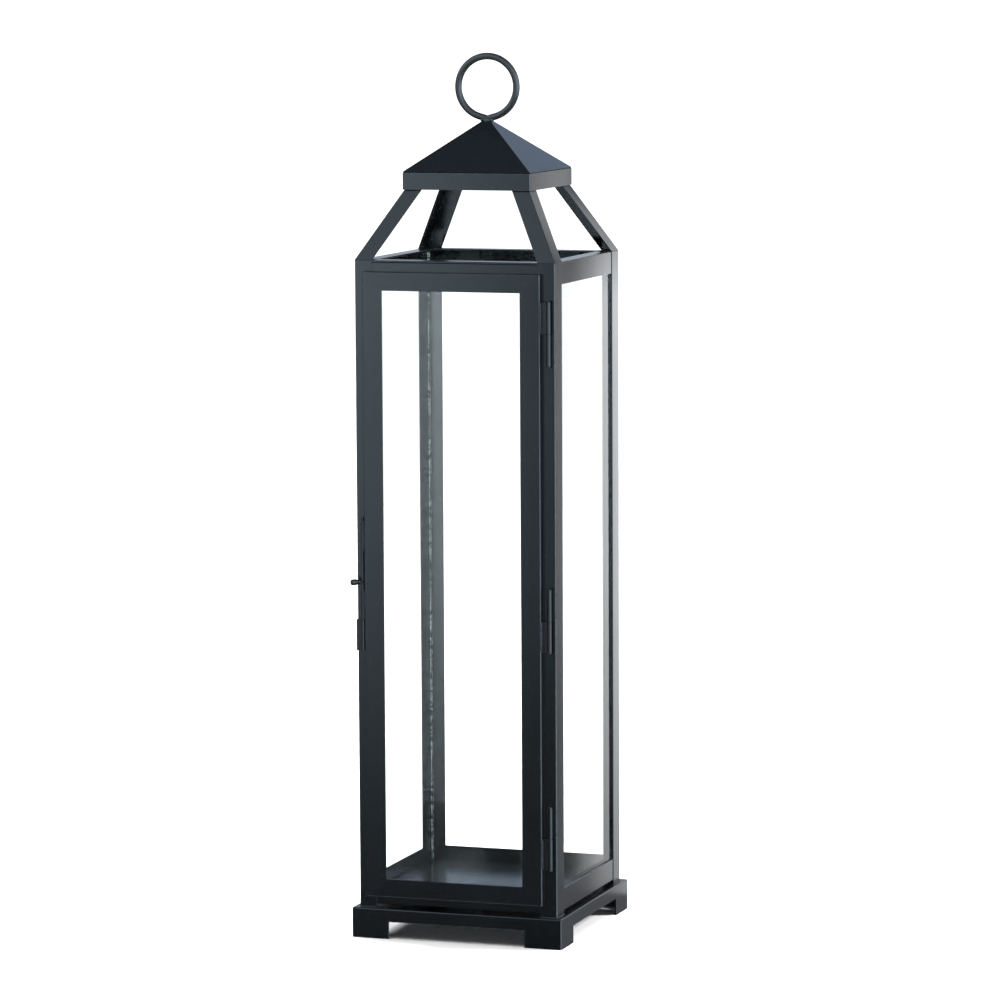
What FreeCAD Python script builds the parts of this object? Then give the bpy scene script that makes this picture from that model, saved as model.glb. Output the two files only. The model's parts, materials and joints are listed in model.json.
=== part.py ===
"""Hurricane candle lantern: a tall four-sided sheet-steel lantern with a glazed door.

Frame: +Z up, origin on the ground at the middle of the plinth, door on the -Y side, millimetres.
Every sub-part is an object of one document and takes its sizes from the sheet "Dims".
"""
import FreeCAD, Part
import math
import os
import Sketcher

DIMENSIONS = {
    "total_height": 635.0,
    # plinth and floor
    "sheet": 1.2,
    "plinth_width": 159.0,
    "plinth_height": 22.0,
    "plinth_fold": 1.0,
    "foot_width": 28.0,
    "notch_height": 12.5,
    "floor_height": 30.2,
    "edge_play": 0.3,
    # body frame of angle section
    "body_width": 150.0,
    "shoulder_height": 489.5,
    "leg_face": 13.0,
    "leg_side": 16.0,
    "rail_face": 16.0,
    "rail_leg": 12.0,
    "rail_inset": 0.4,
    "rail_lift": 2.5,
    # glazing
    "glass": 2.0,
    "glass_play": 0.1,
    "pane_inset": 0.8,
    "clip_width": 15.4,
    "clip_reach": 9.4,
    "clip_spread": 78.0,
    "clip_sheet": 0.6,
    "door_clip_sheet": 0.4,
    "door_clip_reach": 8.0,
    # roof
    "cap_width": 96.3,
    "cap_base": 538.5,
    "cap_band": 12.6,
    "strut_head": 4.5,
    "apex_height": 588.5,
    "apex_flat": 5.0,
    "ring_outer": 49.0,
    "ring_wire": 5.0,
    "ring_seam_angle": 16.0,
    # door
    "door_left": -68.0,
    "door_width": 133.0,
    "door_bottom": 30.7,
    "door_top": 481.5,
    "door_depth": 4.0,
    "door_gap": 0.4,
    "stile_face": 14.8,
    "door_rail_face": 13.3,
    # hinges
    "hinge_height": 45.2,
    "hinge_leaf": 0.8,
    "leaf_inset": 0.2,
    "leaf_left": 3.2,
    "leaf_right": 3.6,
    "hinge_offset": 5.8,
    "knuckle_radius": 1.6,
    "knuckle_gap": 0.3,
    "pin_radius": 0.85,
    "pin_clearance": 0.05,
    "pin_head": 0.8,
    "pin_head_radius": 1.5,
    "web_bite": 0.4,
    "pin_play": 0.15,
    "hinge_top": 416.9,
    "hinge_middle": 213.1,
    "hinge_bottom": 56.9,
    # latch
    "axis_depth": 2.3,
    "latch_offset": 2.0,
    "guide_height": 21.2,
    "guide_low": 232.0,
    "guide_high": 281.4,
    "keeper_height": 22.4,
    "keeper_top": 231.4,
    "keeper_bore": 1.3,
    "keeper_wrap": 7.0,
    "keeper_gap": 0.6,
    "bolt_radius": 1.05,
    "bolt_clearance": 0.07,
    "bolt_tip": 231.9,
    "bolt_top": 305.5,
    "handle_height": 259.0,
    "handle_side": 3.1,
    "handle_front": 2.8,
    "handle_radius": 1.0,
    "knob_radius": 2.3,
    "knob_length": 5.0,
}

doc = FreeCAD.newDocument("CandleLantern")
dims = doc.addObject("Spreadsheet::Sheet", "Dims")
for row, (alias, value) in enumerate(DIMENSIONS.items(), start=1):
    dims.set(f"A{row}", alias)
    dims.set(f"B{row}", str(value))
    dims.setAlias(f"B{row}", alias)
doc.recompute()

# Positions that several sub-parts share, as expressions on the sheet.
HALF_BODY = "Dims.body_width / 2"
HALF_PLINTH = "Dims.plinth_width / 2"
HALF_CAP = "Dims.cap_width / 2"
CAP_TOP = "(Dims.cap_base + Dims.cap_band)"
RAIL_OUT = "(Dims.body_width / 2 - Dims.rail_inset)"
RAIL_BASE = "(Dims.plinth_height + Dims.rail_lift)"
RAIL_TOP_BASE = "(Dims.shoulder_height - Dims.rail_face)"
GLASS_OUT = f"({RAIL_OUT} - Dims.sheet - Dims.glass_play)"
GLASS_IN = f"({GLASS_OUT} - Dims.glass)"
GLASS_LOW = f"({RAIL_BASE} + Dims.sheet + Dims.glass_play)"
GLASS_HIGH = "(Dims.shoulder_height - Dims.sheet - Dims.glass_play)"
DOOR_RIGHT = "(Dims.door_left + Dims.door_width)"
DOOR_BACK = "(-Dims.body_width / 2 - Dims.door_gap)"
DOOR_FRONT = f"({DOOR_BACK} - Dims.door_depth)"
AXIS_Y = "(-Dims.body_width / 2 - Dims.axis_depth)"
HINGE_X = f"({DOOR_RIGHT} + Dims.hinge_offset)"
LATCH_X = "(Dims.door_left - Dims.latch_offset)"

CORNERS = {"front_left": (-1, -1), "front_right": (1, -1), "rear_right": (1, 1), "rear_left": (-1, 1)}
SIDES = {"front": (0, -1), "right": (1, 0), "rear": (0, 1), "left": (-1, 0)}

# Where an outline's points and a circle stand until their constraints place them.
LOOSE_RADIUS = 9.0
LOOSE_TURN = 0.3
LOOSE_CENTRE = FreeCAD.Vector(3, 4, 0)

exported = []


def keep(item, label):
    """Name a finished sub-part and list it for export."""
    item.Label = label
    exported.append(item)
    return item


def new_body(label):
    body = doc.addObject("PartDesign::Body", label + "_body")
    return keep(body, label)


def sketch_on(body, role, level="0"):
    """A sketch on one of the body's own origin planes, moved along the plane's normal by level."""
    plane = [part for part in body.Origin.OriginFeatures if part.Role == role][0]
    sketch = body.newObject("Sketcher::SketchObject", body.Name + "_sketch")
    sketch.AttachmentSupport = [(plane, "")]
    sketch.MapMode = "FlatFace"
    sketch.setExpression(".AttachmentOffset.Base.z", level)
    return sketch


def place_point(sketch, line, end, point, corner):
    """Tie one end of a line to its (x, y) pair of expressions, measured from the sketch's origin."""
    for kind, start, expression in (("DistanceX", point.x, corner[0]), ("DistanceY", point.y, corner[1])):
        index = sketch.addConstraint(Sketcher.Constraint(kind, -1, 1, line, end, start))
        sketch.setExpression(f"Constraints[{index}]", expression)


def outline(sketch, corners):
    """A closed run of straight sides through corners, each an (x, y) pair of expressions."""
    count = len(corners)
    first = sketch.GeometryCount
    start = []
    for i in range(count):
        turn = LOOSE_TURN + 2 * math.pi * i / count
        start.append(FreeCAD.Vector(LOOSE_RADIUS * math.cos(turn), LOOSE_RADIUS * math.sin(turn), 0))
    for i in range(count):
        sketch.addGeometry(Part.LineSegment(start[i], start[(i + 1) % count]), False)
    for i in range(count):
        sketch.addConstraint(Sketcher.Constraint("Coincident", first + i, 2, first + (i + 1) % count, 1))
    for i, corner in enumerate(corners):
        place_point(sketch, first + i, 1, start[i], corner)


def rectangle(sketch, left, low, right, high):
    outline(sketch, [(left, low), (right, low), (right, high), (left, high)])


def circle(sketch, centre, radius):
    loose = Part.Circle(LOOSE_CENTRE, FreeCAD.Vector(0, 0, 1), LOOSE_RADIUS)
    index = sketch.addGeometry(loose, False)
    place_point(sketch, index, 3, LOOSE_CENTRE, centre)
    size = sketch.addConstraint(Sketcher.Constraint("Radius", index, LOOSE_RADIUS))
    sketch.setExpression(f"Constraints[{size}]", radius)


def pad(body, sketch, length, reverse=False):
    """Thicken a sketch along its plane's normal, or against it."""
    feature = body.newObject("PartDesign::Pad", body.Name + "_pad")
    feature.Profile = sketch
    feature.Reversed = reverse
    feature.setExpression("Length", length)
    return feature


def pocket(body, sketch, length, reverse=False, symmetric=False):
    """Cut a sketch into the body, against its plane's normal unless reversed, and check that it cut."""
    doc.recompute()
    before = body.Shape.Volume
    feature = body.newObject("PartDesign::Pocket", body.Name + "_pocket")
    feature.Profile = sketch
    feature.Reversed = reverse
    if symmetric:
        feature.SideType = "Symmetric"
    feature.setExpression("Length", length)
    doc.recompute()
    if body.Shape.Volume >= before:
        raise RuntimeError(body.Label + ": a pocket cut nothing")
    return feature


def angle_outline(sketch, x_sign, y_sign):
    """The six corners of the angle section, its heel at the body's corner in the signed quarter."""
    across = [f"{x_sign} * ({HALF_BODY} - {step})" for step in ("0", "Dims.sheet", "Dims.leg_face")]
    along = [f"{y_sign} * ({HALF_BODY} - {step})" for step in ("0", "Dims.sheet", "Dims.leg_side")]
    outline(sketch, [
        (across[0], along[0]),
        (across[2], along[0]),
        (across[2], along[1]),
        (across[1], along[1]),
        (across[1], along[2]),
        (across[0], along[2]),
    ])


def make_plinth():
    """Folded tray, open below, with a notch in each skirt that leaves four corner feet."""
    body = new_body("base_plinth")
    base = sketch_on(body, "XY_Plane")
    rectangle(base, f"-{HALF_PLINTH}", f"-{HALF_PLINTH}", HALF_PLINTH, HALF_PLINTH)
    block = pad(body, base, "Dims.plinth_height")
    doc.recompute()
    above_ground = dims.get("plinth_fold")
    folded = [f"Edge{i}" for i, edge in enumerate(block.Shape.Edges, start=1)
              if edge.BoundBox.ZMax > above_ground]
    fold = body.newObject("PartDesign::Fillet", "plinth_folds")
    fold.Base = (block, folded)
    fold.setExpression("Radius", "Dims.plinth_fold")
    inner = sketch_on(body, "XY_Plane")
    reach = f"({HALF_PLINTH} - Dims.sheet)"
    rectangle(inner, f"-{reach}", f"-{reach}", reach, reach)
    pocket(body, inner, "Dims.plinth_height - Dims.sheet", reverse=True)
    opening = f"({HALF_PLINTH} - Dims.foot_width)"
    for role in ("XZ_Plane", "YZ_Plane"):
        notch = sketch_on(body, role)
        rectangle(notch, f"-{opening}", "-Dims.sheet", opening, "Dims.notch_height")
        pocket(body, notch, "2 * Dims.plinth_width", symmetric=True)
    return body


def make_floor_pan():
    """Floor of the candle chamber: a plate with a turned-down lip that stands on the bottom rails."""
    body = new_body("floor_pan")
    reach = f"({GLASS_IN} - Dims.edge_play)"
    front = f"(-{RAIL_OUT} + Dims.sheet + Dims.glass_play)"
    plate = sketch_on(body, "XY_Plane", "Dims.floor_height")
    rectangle(plate, f"-{reach}", front, reach, reach)
    pad(body, plate, f"Dims.floor_height - {RAIL_BASE} - Dims.sheet", reverse=True)
    doc.recompute()
    hollow = sketch_on(body, "XY_Plane", f"{RAIL_BASE} + Dims.sheet")
    inner = f"({reach} - Dims.sheet)"
    rectangle(hollow, f"-{inner}", f"{front} + Dims.sheet", inner, inner)
    pocket(body, hollow, f"Dims.floor_height - {RAIL_BASE} - 2 * Dims.sheet", reverse=True)
    return body


def make_post(corner):
    """Corner post of unequal angle, heel outwards and its wider leg on the side, up to the shoulder."""
    x_sign, y_sign = CORNERS[corner]
    body = new_body("post_" + corner)
    section = sketch_on(body, "XY_Plane", "Dims.plinth_height")
    angle_outline(section, x_sign, y_sign)
    pad(body, section, "Dims.shoulder_height - Dims.plinth_height")
    return body


def make_strut(corner):
    """Roof strut: the post's section, carried inwards and up to the inside of the cap band."""
    x_sign, y_sign = CORNERS[corner]
    body = new_body("roof_strut_" + corner)
    section = sketch_on(body, "XY_Plane", "Dims.shoulder_height")
    angle_outline(section, x_sign, y_sign)
    rise = pad(body, section, "Dims.cap_base - Dims.shoulder_height + Dims.strut_head")
    lean = f"(Dims.body_width / 2 - {HALF_CAP} + Dims.sheet)"
    rise.UseCustomVector = True
    rise.AlongSketchNormal = True
    rise.setExpression(".Direction.x", f"{-x_sign} * {lean}")
    rise.setExpression(".Direction.y", f"{-y_sign} * {lean}")
    rise.setExpression(".Direction.z", "Dims.cap_base - Dims.shoulder_height")
    return body


def make_rail(side, level, base, flange_high):
    """Straight angle rail between two posts: an outer face, and a leg that turns inwards."""
    x_way, y_way = SIDES[side]
    sign = x_way + y_way
    body = new_body(f"{side}_{level}_rail")
    leg = "Dims.leg_face" if y_way else "Dims.leg_side"
    half_length = f"({HALF_BODY} - {leg})"
    plane = "YZ_Plane" if y_way else "XZ_Plane"
    section = sketch_on(body, plane, f"-{half_length}")
    low, high = base, f"({base} + Dims.rail_face)"
    outer, inner = f"{sign} * {RAIL_OUT}", f"{sign} * ({RAIL_OUT} - Dims.sheet)"
    tip = f"{sign} * ({RAIL_OUT} - Dims.rail_leg)"
    if flange_high:
        bend, far = f"{high} - Dims.sheet", low
        near = high
    else:
        bend, far = f"{low} + Dims.sheet", high
        near = low
    outline(section, [(outer, near), (tip, near), (tip, bend), (inner, bend), (inner, far), (outer, far)])
    pad(body, section, f"2 * {half_length}")
    return body


def make_glass(side):
    """Fixed pane behind the rails of one side."""
    x_way, y_way = SIDES[side]
    sign = x_way + y_way
    body = new_body("glass_" + side)
    pane = sketch_on(body, "XY_Plane", GLASS_LOW)
    near, far = f"{sign} * {GLASS_IN}", f"{sign} * {GLASS_OUT}"
    if y_way:
        reach = f"({GLASS_IN} - Dims.edge_play)"
        rectangle(pane, f"-{reach}", near, reach, far)
    else:
        reach = "(Dims.body_width / 2 - Dims.sheet - Dims.pane_inset)"
        rectangle(pane, near, f"-{reach}", far, reach)
    pad(body, pane, f"{GLASS_HIGH} - {GLASS_LOW}")
    return body


def box(name, base, size):
    """A box whose low corner and sizes are (x, y, z) expressions."""
    item = doc.addObject("Part::Box", name)
    for prop, expression in zip(("Length", "Width", "Height"), size):
        item.setExpression(prop, expression)
    for axis, expression in zip("xyz", base):
        item.setExpression(".Placement.Base." + axis, expression)
    return item


def make_side_clips(side):
    """Two sheet tabs that hang from the top rail's leg and hold one fixed pane from the inside."""
    x_way, y_way = SIDES[side]
    sign = x_way + y_way
    depth = f"-{GLASS_IN}" if sign < 0 else f"{GLASS_IN} - Dims.clip_sheet"
    base = "Dims.shoulder_height - Dims.sheet - Dims.clip_reach"
    tabs = []
    for place in (-1, 1):
        start = f"{place} * Dims.clip_spread / 2 - Dims.clip_width / 2"
        name = f"clip_{side}_{'first' if place < 0 else 'second'}"
        if y_way:
            tab = box(name, (start, depth, base), ("Dims.clip_width", "Dims.clip_sheet", "Dims.clip_reach"))
        else:
            tab = box(name, (depth, start, base), ("Dims.clip_sheet", "Dims.clip_width", "Dims.clip_reach"))
        tabs.append(tab)
    group = doc.addObject("Part::Compound", f"clips_{side}")
    group.Links = tabs
    return keep(group, f"glass_clips_{side}")


def make_cap_band():
    """Upright square band that the struts are welded into."""
    body = new_body("cap_band")
    band = sketch_on(body, "XY_Plane", "Dims.cap_base")
    inner = f"({HALF_CAP} - Dims.sheet)"
    rectangle(band, f"-{HALF_CAP}", f"-{HALF_CAP}", HALF_CAP, HALF_CAP)
    rectangle(band, f"-{inner}", f"-{inner}", inner, inner)
    pad(body, band, "Dims.cap_band")
    return body


def square_loft(body, kind, low, high, drop):
    """Loft between two squares, each given as (half side, height), lowered by drop."""
    lower = sketch_on(body, "XY_Plane", f"{low[1]} - {drop}")
    rectangle(lower, f"-{low[0]}", f"-{low[0]}", low[0], low[0])
    upper = sketch_on(body, "XY_Plane", f"{high[1]} - {drop}")
    rectangle(upper, f"-{high[0]}", f"-{high[0]}", high[0], high[0])
    loft = body.newObject("PartDesign::" + kind, kind)
    loft.Profile = lower
    loft.Sections = [upper]
    loft.Ruled = True
    return loft


def make_cap_roof(ring):
    """Hollow pyramid on the band, its tip taken off where the ring is welded in."""
    body = doc.addObject("PartDesign::Body", "roof_pyramid")
    flat = "(Dims.apex_flat / 2)"
    slope = f"((Dims.apex_height - {CAP_TOP}) / ({HALF_CAP}))"
    tip = f"(Dims.apex_height - {flat} * {slope})"
    square_loft(body, "AdditiveLoft", (f"({HALF_CAP})", CAP_TOP), (flat, tip), "0")
    doc.recompute()
    solid_volume = body.Shape.Volume
    drop = f"(Dims.sheet * sqrt(1 + {slope}^2))"
    hollow = square_loft(body, "SubtractiveLoft", (f"({HALF_CAP})", CAP_TOP), (flat, tip), drop)
    doc.recompute()
    if hollow.Shape.Volume >= solid_volume:
        raise RuntimeError("cap_roof: the inside was not hollowed")
    roof = doc.addObject("Part::Cut", "roof_shell")
    roof.Base = body
    roof.Tool = ring
    return keep(roof, "cap_roof")


def make_ring():
    """Hanging ring: a round of wire whose two straight ends meet in a shallow V on the roof's tip."""
    centre = "(Dims.total_height - Dims.ring_outer / 2)"
    middle = "((Dims.ring_outer - Dims.ring_wire) / 2)"
    hoop = doc.addObject("Part::Torus", "ring_hoop")
    hoop.setExpression("Radius1", middle)
    hoop.setExpression("Radius2", "Dims.ring_wire / 2")
    hoop.setExpression("Angle3", "360 - 2 * Dims.ring_seam_angle")
    seam = dims.get("ring_seam_angle")
    upright = FreeCAD.Rotation(FreeCAD.Vector(1, 0, 0), 90)
    hoop.Placement.Rotation = upright.multiply(FreeCAD.Rotation(FreeCAD.Vector(0, 0, 1), -90 + seam))
    hoop.setExpression(".Placement.Base.z", centre)
    ends = []
    for side in (-1, 1):
        wire = doc.addObject("Part::Cylinder", "ring_end_" + ("left" if side < 0 else "right"))
        wire.setExpression("Radius", "Dims.ring_wire / 2")
        wire.setExpression("Height", f"{middle} * tan(Dims.ring_seam_angle)")
        wire.Placement.Rotation = FreeCAD.Rotation(FreeCAD.Vector(0, 1, 0), -side * (90 + seam))
        wire.setExpression(".Placement.Base.x", f"{side} * {middle} * sin(Dims.ring_seam_angle)")
        wire.setExpression(".Placement.Base.z", f"{centre} - {middle} * cos(Dims.ring_seam_angle)")
        ends.append(wire)
    ring = doc.addObject("Part::MultiFuse", "ring_fused")
    ring.Shapes = [hoop] + ends
    return keep(ring, "hanging_ring")


def make_door_bar(name, face_corners, lip_corners):
    """One mitred side of the door frame: a front face and a lip that turns back at the outer edge."""
    body = new_body(name)
    face = sketch_on(body, "XZ_Plane", f"-{DOOR_FRONT}")
    outline(face, face_corners)
    pad(body, face, "Dims.sheet", reverse=True)
    lip = sketch_on(body, "XZ_Plane", f"-{DOOR_FRONT} - Dims.sheet")
    outline(lip, lip_corners)
    pad(body, lip, "Dims.door_depth - Dims.sheet", reverse=True)
    return body


def make_door_frame():
    """Four bars cut at the corners from the outer corner to the window's corner."""
    def corner(x_sign, z_sign, across, up):
        x_edge = "Dims.door_left" if x_sign < 0 else DOOR_RIGHT
        z_edge = "Dims.door_bottom" if z_sign < 0 else "Dims.door_top"
        return (f"{x_edge} - {x_sign} * {across}", f"{z_edge} - {z_sign} * {up}")

    ends = {
        "door_stile_left": ((-1, -1), (-1, 1)),
        "door_stile_right": ((1, -1), (1, 1)),
        "door_rail_bottom": ((-1, -1), (1, -1)),
        "door_rail_top": ((-1, 1), (1, 1)),
    }
    for name, (first, second) in ends.items():
        face = []
        lip = []
        for x_sign, z_sign in (first, second):
            face.append(corner(x_sign, z_sign, "0", "0"))
            lip.append(corner(x_sign, z_sign, "0", "0"))
        for x_sign, z_sign in (second, first):
            face.append(corner(x_sign, z_sign, "Dims.stile_face", "Dims.door_rail_face"))
            lip.append(corner(x_sign, z_sign, "Dims.sheet", "Dims.sheet"))
        make_door_bar(name, face, lip)


def make_door_glass():
    """Pane that lies on the back of the door's faces, inside its lips."""
    body = new_body("door_glass")
    pane = sketch_on(body, "XZ_Plane", f"-{DOOR_FRONT} - Dims.sheet - Dims.glass_play / 2")
    edge = "(Dims.sheet + Dims.edge_play)"
    rectangle(pane, f"Dims.door_left + {edge}", f"Dims.door_bottom + {edge}",
              f"{DOOR_RIGHT} - {edge}", f"Dims.door_top - {edge}")
    pad(body, pane, "Dims.glass - Dims.glass_play", reverse=True)
    return body


def make_door_clips():
    """Thin tabs from the door's lips that hold its pane from behind."""
    depth = f"{DOOR_FRONT} + Dims.sheet + Dims.glass"
    size = ("Dims.door_clip_reach", "Dims.door_clip_sheet", "Dims.clip_width")
    x_bases = {
        "left": "Dims.door_left + Dims.sheet",
        "right": f"{DOOR_RIGHT} - Dims.sheet - Dims.door_clip_reach",
    }
    tabs = []
    for side, x_base in x_bases.items():
        for quarter in (1, 2, 3):
            middle = f"Dims.door_bottom + {quarter} / 4 * (Dims.door_top - Dims.door_bottom)"
            base = (x_base, depth, f"{middle} - Dims.clip_width / 2")
            tabs.append(box(f"door_clip_{side}_{quarter}", base, size))
    group = doc.addObject("Part::Compound", "door_clips")
    group.Links = tabs
    return keep(group, "door_glass_clips")


def tube_with_leaves(label, axis_x, bore, low, height, leaves):
    """A knuckle rolled round a vertical axis, with flat leaves: each a rectangle in plan."""
    body = new_body(label)
    knuckle = sketch_on(body, "XY_Plane", low)
    circle(knuckle, (axis_x, AXIS_Y), "Dims.knuckle_radius")
    pad(body, knuckle, height)
    for left, front, right, back in leaves:
        leaf = sketch_on(body, "XY_Plane", low)
        rectangle(leaf, left, front, right, back)
        pad(body, leaf, height)
    hole = sketch_on(body, "XY_Plane", low)
    circle(hole, (axis_x, AXIS_Y), bore)
    pocket(body, hole, height, reverse=True)
    return body


def make_hinge(level, base, door_knuckle_high):
    """Butt hinge of three pieces: the door's leaf, the frame's leaf and the pin through both knuckles."""
    bore = "Dims.pin_radius + Dims.pin_clearance"
    half = "(Dims.hinge_height / 2)"
    knuckle = f"{half} - Dims.knuckle_gap / 2"
    upper = f"{base} + {half} + Dims.knuckle_gap / 2"
    door_base, frame_base = (upper, base) if door_knuckle_high else (base, upper)
    post_face = f"-{HALF_BODY}"
    leaf_front = f"{post_face} - Dims.hinge_leaf"
    frame_leaf = (f"{HINGE_X} - Dims.leaf_left", leaf_front, f"{HINGE_X} + Dims.leaf_right", post_face)
    tube_with_leaves(f"hinge_{level}_frame_leaf", HINGE_X, bore, frame_base, knuckle, [frame_leaf])
    front, back = f"{DOOR_FRONT} + Dims.leaf_inset", f"{DOOR_BACK} - Dims.leaf_inset"
    lip_plate = (DOOR_RIGHT, front, f"{DOOR_RIGHT} + Dims.hinge_leaf", back)
    web = (f"{DOOR_RIGHT} + Dims.hinge_leaf / 2", f"{AXIS_Y} - Dims.hinge_leaf / 2",
           f"{HINGE_X} - Dims.knuckle_radius + Dims.web_bite", f"{AXIS_Y} + Dims.hinge_leaf / 2")
    tube_with_leaves(f"hinge_{level}_door_leaf", HINGE_X, bore, door_base, knuckle, [lip_plate, web])
    pin = new_body(f"hinge_{level}_pin")
    shank = sketch_on(pin, "XY_Plane", f"{base} - Dims.pin_play")
    circle(shank, (HINGE_X, AXIS_Y), "Dims.pin_radius")
    pad(pin, shank, "Dims.hinge_height + 2 * Dims.pin_play")
    low_head = f"{base} - Dims.pin_play - Dims.pin_head"
    high_head = f"{base} + Dims.hinge_height + Dims.pin_play"
    for start in (low_head, high_head):
        head = sketch_on(pin, "XY_Plane", start)
        circle(head, (HINGE_X, AXIS_Y), "Dims.pin_head_radius")
        pad(pin, head, "Dims.pin_head")


def make_latch_guide(level, low):
    """Knuckle on the door's left lip that the bolt slides in."""
    front, back = f"{DOOR_FRONT} + Dims.leaf_inset", f"{DOOR_BACK} - Dims.leaf_inset"
    plate = ("Dims.door_left - Dims.hinge_leaf", front, "Dims.door_left", back)
    return tube_with_leaves(f"latch_guide_{level}", LATCH_X, "Dims.bolt_radius + Dims.bolt_clearance",
                            low, "Dims.guide_height", [plate])


def make_keeper():
    """Strap round the left post's edge with the knuckle that the bolt drops into."""
    face = f"-{HALF_BODY}"
    low = "Dims.keeper_top - Dims.keeper_height"
    front_plate = (f"{face} - Dims.hinge_leaf", f"{face} - Dims.hinge_leaf",
                   "Dims.door_left - Dims.keeper_gap", face)
    side_plate = (f"{face} - Dims.hinge_leaf", face, face, f"{face} + Dims.keeper_wrap")
    return tube_with_leaves("latch_keeper", LATCH_X, "Dims.keeper_bore", low, "Dims.keeper_height",
                            [front_plate, side_plate])


def make_bolt():
    """Slide bolt: a round rod in the guides with a bent handle between them."""
    rod = doc.addObject("Part::Cylinder", "bolt_rod")
    rod.setExpression("Radius", "Dims.bolt_radius")
    rod.setExpression("Height", "Dims.bolt_top - Dims.bolt_tip")
    arm = doc.addObject("Part::Cylinder", "bolt_arm")
    arm.setExpression("Radius", "Dims.handle_radius")
    arm.setExpression("Height", "sqrt(Dims.handle_side^2 + Dims.handle_front^2)")
    knob = doc.addObject("Part::Cylinder", "bolt_knob_turned")
    knob.setExpression("Radius", "Dims.knob_radius")
    knob.setExpression("Height", "Dims.knob_length")
    outwards = FreeCAD.Vector(-dims.get("handle_side"), -dims.get("handle_front"), 0)
    lie = FreeCAD.Rotation(FreeCAD.Vector(0, 0, 1), outwards)
    arm.Placement.Rotation = lie
    knob.Placement.Rotation = lie
    positions = (
        (rod, LATCH_X, AXIS_Y, "Dims.bolt_tip"),
        (arm, LATCH_X, AXIS_Y, "Dims.handle_height"),
        (knob, f"{LATCH_X} - Dims.handle_side", f"{AXIS_Y} - Dims.handle_front", "Dims.handle_height"),
    )
    for item, x_place, y_place, z_place in positions:
        item.setExpression(".Placement.Base.x", x_place)
        item.setExpression(".Placement.Base.y", y_place)
        item.setExpression(".Placement.Base.z", z_place)
    bolt = doc.addObject("Part::MultiFuse", "bolt_fused")
    bolt.Shapes = [rod, arm]
    keep(bolt, "latch_bolt")
    keep(knob, "latch_knob")


make_plinth()
make_floor_pan()
for corner_name in CORNERS:
    make_post(corner_name)
    make_strut(corner_name)
for side_name in SIDES:
    make_rail(side_name, "bottom", RAIL_BASE, False)
    make_rail(side_name, "top", RAIL_TOP_BASE, True)
for side_name in ("right", "rear", "left"):
    make_glass(side_name)
    make_side_clips(side_name)
make_cap_band()
hanging_ring = make_ring()
make_cap_roof(hanging_ring)
make_door_frame()
make_door_glass()
make_door_clips()
make_hinge("top", "Dims.hinge_top", True)
make_hinge("middle", "Dims.hinge_middle", False)
make_hinge("bottom", "Dims.hinge_bottom", False)
make_latch_guide("lower", "Dims.guide_low")
make_latch_guide("upper", "Dims.guide_high")
make_keeper()
make_bolt()
doc.recompute()

for item in doc.Objects:
    if "Invalid" in item.State or "Error" in item.State:
        raise RuntimeError(item.Name + " failed: " + ", ".join(item.State))
os.makedirs("parts", exist_ok=True)
for item in exported:
    shape = item.Shape
    if shape.isNull() or not shape.isValid() or not shape.Solids:
        raise RuntimeError(item.Label + " has no valid solid")
    shape.exportStep(f"parts/{item.Label}.step")
    print(item.Label, len(shape.Solids), round(shape.Volume, 1))
print(len(exported), "sub-parts")
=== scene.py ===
"""Looks of the hurricane candle lantern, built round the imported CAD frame. Metres, +Z up."""
import json
import math

import bmesh
import bpy
from mathutils import Euler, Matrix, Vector, noise


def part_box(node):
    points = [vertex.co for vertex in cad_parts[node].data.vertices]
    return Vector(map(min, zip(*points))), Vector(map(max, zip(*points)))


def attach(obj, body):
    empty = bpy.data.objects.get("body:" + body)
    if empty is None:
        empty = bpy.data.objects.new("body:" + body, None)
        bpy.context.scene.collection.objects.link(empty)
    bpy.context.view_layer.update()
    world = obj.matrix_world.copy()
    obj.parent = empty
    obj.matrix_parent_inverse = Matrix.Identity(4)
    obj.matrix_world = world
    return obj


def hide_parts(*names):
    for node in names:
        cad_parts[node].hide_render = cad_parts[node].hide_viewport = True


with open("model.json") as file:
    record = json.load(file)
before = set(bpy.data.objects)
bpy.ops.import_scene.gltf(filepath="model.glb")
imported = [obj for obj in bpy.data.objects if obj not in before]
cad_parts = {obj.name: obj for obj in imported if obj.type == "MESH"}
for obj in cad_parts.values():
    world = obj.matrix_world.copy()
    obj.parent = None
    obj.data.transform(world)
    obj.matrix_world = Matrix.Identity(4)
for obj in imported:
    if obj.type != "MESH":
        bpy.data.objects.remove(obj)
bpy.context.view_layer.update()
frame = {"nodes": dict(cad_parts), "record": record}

MM = 0.001
NEAR = 0.05 * MM                 # how close an edge lies to a plane that it is on
CREASE = math.radians(35)        # folds sharper than this get rounded
PANE_IOR = 1.42
NODE_BODY = {node: body for body, nodes in frame["record"]["behaviour"]["bodies"].items() for node in nodes}
NODE_SLOT = {part["node"]: part["material_slot"] for part in frame["record"]["subparts"]}
CORNERS = {"front_left": (-1, -1), "front_right": (1, -1), "rear_right": (1, 1), "rear_left": (-1, 1)}
PANES = ("glass_left", "glass_right", "glass_rear", "door_glass")


def box_of(node):
    low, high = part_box(node)
    return Vector(low), Vector(high)


# ---------------------------------------------------------------- materials

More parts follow.
